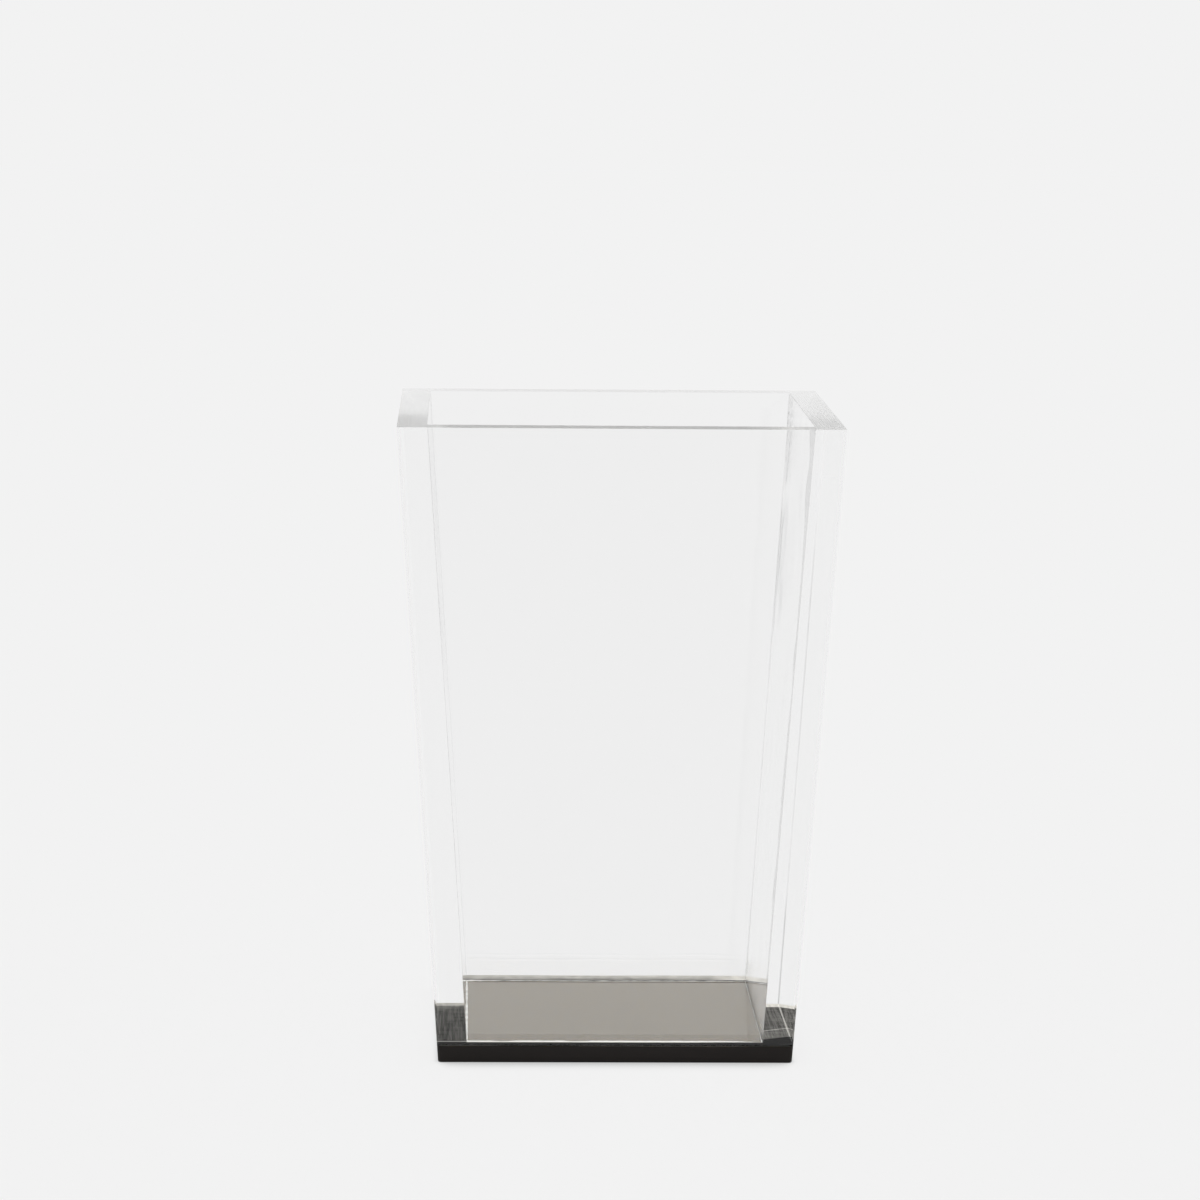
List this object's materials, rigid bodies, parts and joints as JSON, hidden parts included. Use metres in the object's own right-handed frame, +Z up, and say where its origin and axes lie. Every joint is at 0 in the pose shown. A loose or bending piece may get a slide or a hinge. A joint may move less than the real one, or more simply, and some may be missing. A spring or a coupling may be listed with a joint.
{
  "type": "brush holder",
  "caption": "Open-topped tapered square holder for toothbrushes: clear mitred acrylic walls cemented onto a glossy black base plate.",
  "frame": {"origin": "centre of the underside of the base plate", "axes": "+Z up along the holder's axis toward the open rim, -Y toward the front of the picture, +X to the right"},
  "size_m": [0.082, 0.082, 0.1195],
  "materials": {
    "clear_acrylic": "polished clear cast acrylic sheet",
    "black_acrylic": "polished black cast acrylic sheet",
    "clear_cement": "cured clear acrylic cement, slightly cloudy"
  },
  "bodies": {
    "root": {"front_wall": "clear_acrylic", "right_wall": "clear_acrylic", "back_wall": "clear_acrylic", "left_wall": "clear_acrylic", "base_plate": "black_acrylic", "base_bond": "clear_cement", "corner_bond_front_right": "clear_cement", "corner_bond_back_right": "clear_cement", "corner_bond_back_left": "clear_cement", "corner_bond_front_left": "clear_cement"}
  },
  "joints": []
}
